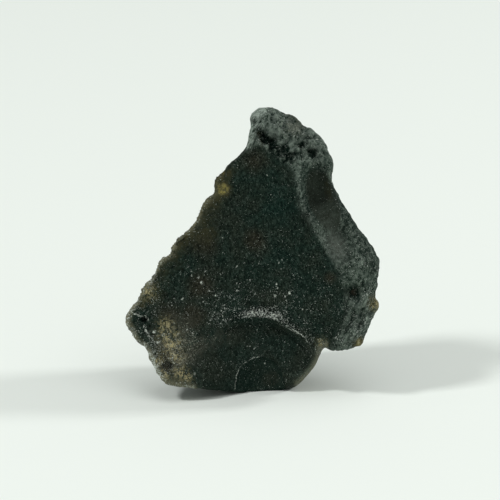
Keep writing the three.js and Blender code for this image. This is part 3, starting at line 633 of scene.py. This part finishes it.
# Painted highlights on small chips.
SPALLS = [  # small bright chips: middle and half width
    ((-7.4, 12.8), 0.22), ((-6.6, 12.6), 0.20), ((-6.3, 12.0), 0.24), ((-5.4, 11.1), 0.16),
    ((-5.9, 13.3), 0.13), ((-2.4, 13.9), 0.18), ((-1.5, 14.3), 0.15), ((-2.4, 11.9), 0.14),
    ((-8.4, 10.3), 0.24), ((-5.8, 9.7), 0.22), ((-6.1, 9.9), 0.13), ((-2.3, 11.2), 0.15),
    ((-1.9, 11.1), 0.13), ((-4.8, 10.6), 0.15), ((2.1, 11.9), 0.2), ((2.2, 11.4), 0.15),
    ((3.5, 10.9), 0.25), ((3.0, 10.5), 0.2), ((1.9, 10.6), 0.17), ((2.4, 10.8), 0.15),
    ((-1.2, 16.0), 0.14), ((2.3, 14.3), 0.18), ((2.7, 14.6), 0.13), ((-3.8, 9.2), 0.14),
    ((4.9, 9.1), 0.13), ((-7.9, 6.8), 0.2), ((-8.9, 6.3), 0.16), ((-7.7, 13.9), 0.13),
    ((-3.2, 6.3), 0.12), ((-6.2, 4.4), 0.12), ((0.8, 3.0), 0.14), ((-4.4, 1.7), 0.15),
    ((-11.6, 6.6), 0.2), ((-11.1, 5.4), 0.22), ((-4.0, 2.4), 0.12),
]
CHIP_SHARE = 0.65  # of the half width, where a chip has faded to a third
CHIP_LENGTH = 1.5  # as a share of its width
CHIP_STRENGTH = 0.7
for middle, reach in SPALLS:
    across = (wavering - middle) @ LEAN_ACROSS
    along = (wavering - middle) @ LEAN_ALONG
    chip = np.exp(-(np.hypot(across, along / CHIP_LENGTH) / (CHIP_SHARE * reach)) ** 2)
    thin_lines = np.maximum(thin_lines, CHIP_STRENGTH * chip)
marked("cracks_and_highlights", thin_lines * front)

# Bright specks, painted as glints, gather by the lip, along the left edge and in the low corner. Dust lies in
# that corner, and under the left end of the lip.
low = 1 - eased(up, 9.0, 20.0)
by_lip = np.exp(-(np.abs(over_lip - 0.8) / 1.6) ** 2) * hollow_side * eased(along_lip, 0.05, 0.4)
by_lip *= 1 - 0.6 * eased(along_lip, 0.6, 0.75)
clustered = 0.4 + 0.6 * eased(lumps(plane, 1.3, 51) + 0.6 * lumps(plane, 0.6, 52), -0.7, 0.7)
flecked = (0.13 + 0.19 * low + 0.24 * by_lip + 0.2 * corner + 0.2 * near_edge) * clustered
flecked *= 1 - 0.3 * eased(-over_lip, 0.0, 0.5) * hollow_side
marked("flecked", flecked + 0.15 * rough * front + 0.4 * crushed_and_lit + 0.4 * left_rim)
BELOW_LIP = [(-9.4, 2.6), (-6.4, 5.0), (-3.6, 6.4)]
dusty = patch((-8.9, 4.6), (2.9, 4.3), 3) * outer * (1 - 0.6 * eased(-over_lip, -0.5, 2.5))
marked("dusty", dusty + 0.55 * band(BELOW_LIP, 1.1) * front)

# ---------------------------------------------------------------------------------------------------------
# The glass.
# Nearly opaque black glass with a green and brown cast. Etching has left it satin, with a fine grain, and
# grey where the skin is old. Its countless bright specks are painted glints, and highlights and shade are
# painted in.
# ---------------------------------------------------------------------------------------------------------
BOTTLE_BLACK = (0.0115, 0.0310, 0.0240, 1)
BROWN_BLACK = (0.0340, 0.0335, 0.0225, 1)
PORE_AND_SHADE_BLACK = (0.001, 0.004, 0.003, 1)
BROWN_SHADE = (0.075, 0.062, 0.045, 1)
SKIN_GREY = (0.250, 0.320, 0.270, 1)
SKIN_BUFF = (0.270, 0.280, 0.205, 1)
SKIN_DARK_AND_SHADE = (0.004, 0.015, 0.010, 1)
SCAR_BROWN = (0.024, 0.030, 0.022, 1)
SCAR_BUFF = (0.085, 0.092, 0.078, 1)
PALE_AND_LIT_GLASS = (0.390, 0.460, 0.400, 1)
BROWN_OLIVE = (0.050, 0.050, 0.026, 1)
OLIVE = (0.120, 0.110, 0.050, 1)
HONEY = (0.30, 0.26, 0.08, 1)
LIT_RIM_OLIVE = (0.300, 0.290, 0.190, 1)
DUST_BROWN = (0.060, 0.062, 0.047, 1)
DUST = (0.430, 0.450, 0.350, 1)
CLAY_TAN = (0.46, 0.41, 0.22, 1)
CRUSHED_AND_GLINT_GREY = (0.80, 0.86, 0.77, 1)
GLINT_WHITE = (0.72, 0.78, 0.70, 1)
GRAIN_HEIGHT = 0.0003  # m: how high the grain of the etched glass stands
GLASS_IOR = 1.5
SATIN_GLEAM = 0.012  # etching has left almost no mirror gleam

tektite_glass.use_nodes = True
glass = tektite_glass.node_tree
glass.nodes.clear()
placed = node(glass, "ShaderNodeTexCoord").outputs["Object"]
in_mm = node(glass, "ShaderNodeMapping", {"Vector": placed, "Scale": (1000, 1000, 1000)}).outputs[0]


def kept(name):
    """A value kept on the skin."""
    return node(glass, "ShaderNodeAttribute", attribute_name=name).outputs["Fac"]


def times(one, other):
    """Two values multiplied."""
    return node(glass, "ShaderNodeMath", {0: one, 1: other}, operation="MULTIPLY").outputs[0]


def plus(one, other):
    """Two values added up, to 1 at most."""
    return node(glass, "ShaderNodeMath", {0: one, 1: other}, operation="ADD", use_clamp=True).outputs[0]


def ramp(value, low, high, to_low=0.0, to_high=1.0):
    """A value spread from one range to another, clamped."""
    return node(glass, "ShaderNodeMapRange", {
        "Value": value, "From Min": low, "From Max": high, "To Min": to_low, "To Max": to_high,
    }).outputs[0]


def above(value, least):
    """1 where a value lies above the least one, 0 elsewhere, with a narrow slope between."""
    over = node(glass, "ShaderNodeMath", {0: value, 1: least}, operation="SUBTRACT").outputs[0]
    return ramp(over, 0.0, 0.04)


def cloud(per_mm, detail=2.0, roughness=0.5, swirl=0.0, vector=None):
    """Soft random patches, per mm."""
    return node(glass, "ShaderNodeTexNoise", {
        "Vector": vector or in_mm, "Scale": per_mm, "Detail": detail, "Roughness": roughness,
        "Distortion": swirl,
    }).outputs["Fac"]


def flecks(per_mm, share, size, vector):
    """Small painted glints, per mm, in a share of the cells, each with a size and brightness of its own."""
    chip = node(glass, "ShaderNodeTexVoronoi", {"Vector": vector, "Scale": per_mm}).outputs
    own = node(glass, "ShaderNodeSeparateColor", {"Color": chip["Color"]}).outputs
    there = node(glass, "ShaderNodeMath", {0: own["Red"], 1: share}, operation="LESS_THAN").outputs[0]
    edge_at = times(own["Green"], size)
    inside = ramp(chip["Distance"], edge_at, times(edge_at, 0.5))
    return times(times(there, inside), times(own["Blue"], own["Blue"]))


def tinted(share, under, over):
    """One colour laid over another by a share."""
    return node(glass, "ShaderNodeMix", {0: share, 6: under, 7: over}, data_type="RGBA").outputs[2]


def drawn_out(lean, scale):
    """Places in mm for a pattern that leans by some degrees and is drawn out by a scale."""
    return node(glass, "ShaderNodeMapping", {
        "Vector": in_mm, "Rotation": (0, math.radians(lean), 0), "Scale": scale,
    }, vector_type="TEXTURE").outputs[0]


upright = node(glass, "ShaderNodeMapping", {"Vector": in_mm, "Scale": (1, 1, 0.65)}).outputs[0]
slanted = drawn_out(26, (1, 1, 3.0))
leant = drawn_out(35, (1, 1, 1.8))
down_column = drawn_out(24, (0.8, 1, 4.0))
fine = cloud(4.5, 4, 0.8, 1.0, upright)
coarse = cloud(1.1, 3, 0.7, 0.8, upright)
streaks = cloud(2.4, 4, 0.8, 0.6, slanted)

# The broken faces are bottle black, with brown hazes, dark pores, a fine grey grain and painted shade in
# their hollows.
hazy = plus(times(ramp(cloud(0.3, 3), 0.44, 0.64), 0.35), kept("brown"))
colour = tinted(hazy, BOTTLE_BLACK, BROWN_BLACK)
colour = tinted(ramp(fine, 0.54, 0.40, 0.0, 0.9), colour, PORE_AND_SHADE_BLACK)
colour = tinted(times(ramp(fine, 0.52, 0.64), ramp(coarse, 0.35, 0.62, 0.05, 0.20)), colour, SKIN_GREY)
# Painted shade: points that lie sunk below their surroundings are darkened.
colour = tinted(ramp(kept("sunk"), 0.56, 0.76, 0.0, 0.9), colour, PORE_AND_SHADE_BLACK)
colour = tinted(times(kept("nested"), 0.3), colour, BOTTLE_BLACK)

# The outer skin is grey on its lumps, with painted shade between them and in its pits, and two scars differ
# from it.
mottled = plus(times(ramp(fine, 0.46, 0.57), 0.8), times(ramp(streaks, 0.46, 0.56), 0.45))
furrows = times(ramp(cloud(2.3, 4, 0.75, 0.2, down_column), 0.44, 0.56), 0.65)
mottled = times(mottled, ramp(kept("furrowed"), 0, 1, 1.0, 0.35))
mottled = plus(mottled, times(kept("furrowed"), furrows))
# Painted shade: the grey gives way to dark where the skin lies sunk, and stays on the ridges.
ridged = times(ramp(kept("sunk"), 0.72, 0.30, 0.03, 1.0), ramp(coarse, 0.38, 0.58, 0.35, 1.0))
etched_grey_and_shade = tinted(times(ridged, mottled), SKIN_DARK_AND_SHADE, tinted(kept("brown"), SKIN_GREY, SKIN_BUFF))
colour = tinted(times(kept("skin"), 0.95), colour, etched_grey_and_shade)
colour = tinted(times(kept("smooth"), 0.95), colour, tinted(times(mottled, 0.10), SCAR_BROWN, SKIN_GREY))
colour = tinted(times(kept("buff"), 0.85), colour, tinted(times(mottled, 0.3), SCAR_BUFF, SKIN_GREY))
# Painted shade in the etched pits.
colour = tinted(times(kept("pit"), 0.5), colour, SKIN_DARK_AND_SHADE)
# Painted highlight: the left shoulder, the crest, the crown's tops and the low bevel, which face the lamps,
# are laid pale, with a little of the pale furrowed column.
colour = tinted(times(kept("pale_and_lit"), ramp(streaks, 0.43, 0.53, 0.1, 1.0)), colour, PALE_AND_LIT_GLASS)
# Painted shade in the crown's hollow band and the other hollowed places, browner within the brown hazes.
shade = tinted(ramp(kept("brown"), 0.6, 1.0), PORE_AND_SHADE_BLACK, BROWN_SHADE)
colour = tinted(times(kept("hollowed"), ramp(fine, 0.60, 0.48, 0.4, 0.95)), colour, shade)

# Light that comes through the thin edge is painted into its colour, and its rim gets a painted olive
# highlight, most where it stands raised.
thin = times(kept("thin"), ramp(cloud(2.2, 4, 0.75), 0.36, 0.60, 0.4, 1.1))
colour = tinted(ramp(thin, 0.06, 0.36), colour, BROWN_OLIVE)
colour = tinted(ramp(thin, 0.40, 0.66), colour, OLIVE)
colour = tinted(ramp(thin, 0.66, 1.0), colour, HONEY)
raised = ramp(kept("sunk"), 0.52, 0.38)
lit_rim = times(kept("lit_rim"), plus(times(raised, 0.6), ramp(cloud(3.0, 3, 0.8), 0.46, 0.58)))
colour = tinted(lit_rim, colour, LIT_RIM_OLIVE)

# Dust, grit and clay, and painted light on the low right bevel, which takes the clay's tan.
colour = tinted(times(kept("dusty"), ramp(coarse, 0.38, 0.58, 0.0, 0.8)), colour, DUST_BROWN)
grit = above(cloud(4.0, 3, 0.8, 1.5, leant), ramp(kept("dusty"), 0.0, 1.0, 0.76, 0.55))
colour = tinted(times(grit, ramp(cloud(1.9, 2), 0.36, 0.62, 0.15, 1.0)), colour, DUST)
clayey = times(kept("clay_and_lit_bevel"), ramp(cloud(2.6, 4, 0.8, 1.0), 0.49, 0.57))
colour = tinted(clayey, colour, CLAY_TAN)

# Painted shade fills the gaps of the crushed glass, and bright crumbs stand before it: crushed glass with
# painted glints. Specks and chips are painted glints, and the thin lines painted highlights.
colour = tinted(times(kept("crushed_and_lit"), 0.95), colour, PORE_AND_SHADE_BLACK)
crumbs = above(cloud(4.2, 3, 0.8, 1.2, leant), ramp(kept("crushed_and_lit"), 0.0, 1.0, 0.74, 0.545))
colour = tinted(times(crumbs, ramp(cloud(3.0, 2, 0.6), 0.36, 0.60, 0.1, 1.1)), colour, CRUSHED_AND_GLINT_GREY)
# Painted glints: bright specks and flecks.
specks = above(cloud(8.0, 2, 0.6, 0.8), ramp(kept("flecked"), 0.0, 1.0, 0.70, 0.45))
specks = times(specks, ramp(cloud(2.3, 2), 0.36, 0.62, 0.1, 1.1))
glints = plus(specks, flecks(1.7, times(kept("flecked"), 0.20), 0.32, upright))
colour = tinted(glints, colour, GLINT_WHITE)
# Painted highlights on the rims of small scars, on cracks and on chips.
lit_rims_and_chips = ramp(times(kept("cracks_and_highlights"), ramp(cloud(5.0, 3, 0.8, 1.0), 0.38, 0.58)), 0.20, 0.46)
colour = tinted(lit_rims_and_chips, colour, CRUSHED_AND_GLINT_GREY)

# The old skin and the clay are duller than the broken faces.
dull = plus(ramp(cloud(0.9, 3, 0.6), 0.3, 0.7, 0.34, 0.44), times(kept("skin"), 0.12))
dull = plus(dull, times(clayey, 0.3))
grainy = plus(times(fine, ramp(kept("skin"), 0, 1, 0.7, 1.0)), times(glints, 0.3))
bump = node(glass, "ShaderNodeBump", {"Height": grainy, "Strength": 1.0, "Distance": GRAIN_HEIGHT})
body = node(glass, "ShaderNodeBsdfPrincipled", {
    "Base Color": colour, "Roughness": dull, "Normal": bump.outputs[0], "IOR": GLASS_IOR,
    "Specular IOR Level": SATIN_GLEAM,
})
node(glass, "ShaderNodeOutputMaterial", {"Surface": body.outputs[0]})

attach(stone, "root")
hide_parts("tektite")

# ---------------------------------------------------------------------------------------------------------
# The floor.
# A wide sheet of pale matt board that the stone stands on.
# It lies flat, with its top at the stone's foot.
# ---------------------------------------------------------------------------------------------------------
BOARD_HALF = 1.5  # m
BOARD_COLOUR = (0.80, 0.845, 0.80, 1)
corners = [(-BOARD_HALF, -BOARD_HALF, 0), (BOARD_HALF, -BOARD_HALF, 0)]
corners += [(BOARD_HALF, BOARD_HALF, 0), (-BOARD_HALF, BOARD_HALF, 0)]
board = bpy.data.meshes.new("board")
board.from_pydata(corners, [], [(0, 1, 2, 3)])
floor = bpy.data.objects.new("board", board)
bpy.context.scene.collection.objects.link(floor)
paper = bpy.data.materials.new("pale_matt_board")
paper.use_nodes = True
paper_body = paper.node_tree.nodes["Principled BSDF"]
paper_body.inputs["Base Color"].default_value = BOARD_COLOUR
paper_body.inputs["Roughness"].default_value = 0.9
paper_body.inputs["Specular IOR Level"].default_value = 0.1
board.materials.append(paper)

# ---------------------------------------------------------------------------------------------------------
# The light.
# Three soft boxes in a pale room: a small one high at the left front, a small one at the right, and a wide
# one far overhead that fills the shadows.
# ---------------------------------------------------------------------------------------------------------
ROOM_COLOUR = (0.96, 1.0, 0.97, 1)
ROOM_STRENGTH = 0.28
STONE_MIDDLE = Vector((0, 0, 0.012))  # m: all the boxes point at it
SOFT_BOXES = (  # place in m, side in m and power in W
    ("left_box", (-0.48, -0.21, 0.60), 0.12, 2.7),
    ("right_box", (0.60, 0.11, 0.33), 0.09, 2.0),
    ("overhead_box", (0.36, -0.15, 1.15), 1.30, 6.2),
)
room = bpy.data.worlds.new("pale_room")
room.use_nodes = True
room.node_tree.nodes["Background"].inputs["Color"].default_value = ROOM_COLOUR
room.node_tree.nodes["Background"].inputs["Strength"].default_value = ROOM_STRENGTH
bpy.context.scene.world = room
for name, place, side, power in SOFT_BOXES:
    lamp = bpy.data.lights.new(name, "AREA")
    lamp.size = side
    lamp.energy = power
    holder = bpy.data.objects.new(name, lamp)
    holder.location = place
    holder.rotation_euler = (STONE_MIDDLE - Vector(place)).to_track_quat("-Z", "Y").to_euler()
    bpy.context.scene.collection.objects.link(holder)

# ---------------------------------------------------------------------------------------------------------
# The camera.
# A long lens, 18 degrees above the level, that looks straight at the broad hollow face.
# It stands far off, so that the stone shows in its true proportions.
# ---------------------------------------------------------------------------------------------------------
ABOVE = math.radians(18)
LENS = 400
FILM = 36
PICTURE_SIDE = 500  # pixels
PIXELS_PER_MM = 9
AIM = (-0.8889, 15.6667, 5.0)  # right, up and towards the front on the layout plane, in mm
back_way = Vector((0, -math.cos(ABOVE), math.sin(ABOVE)))
up_way = Vector((0, math.sin(ABOVE), math.cos(ABOVE)))
aim = (Vector((AIM[0], 0, 0)) + up_way * AIM[1] + back_way * AIM[2] - Vector(PLANE_SHIFT)) * MM
lens = bpy.data.cameras.new("long_lens")
lens.lens = LENS
lens.sensor_width = FILM
lens.clip_start = 0.01
camera = bpy.data.objects.new("long_lens", lens)
camera.location = aim + back_way * (PICTURE_SIDE / PIXELS_PER_MM * MM * LENS / FILM)
camera.rotation_mode = "QUATERNION"
camera.rotation_quaternion = (-back_way).to_track_quat("-Z", "Y")
bpy.context.scene.collection.objects.link(camera)
bpy.context.scene.camera = camera
bpy.context.scene.view_settings.view_transform = "Standard"
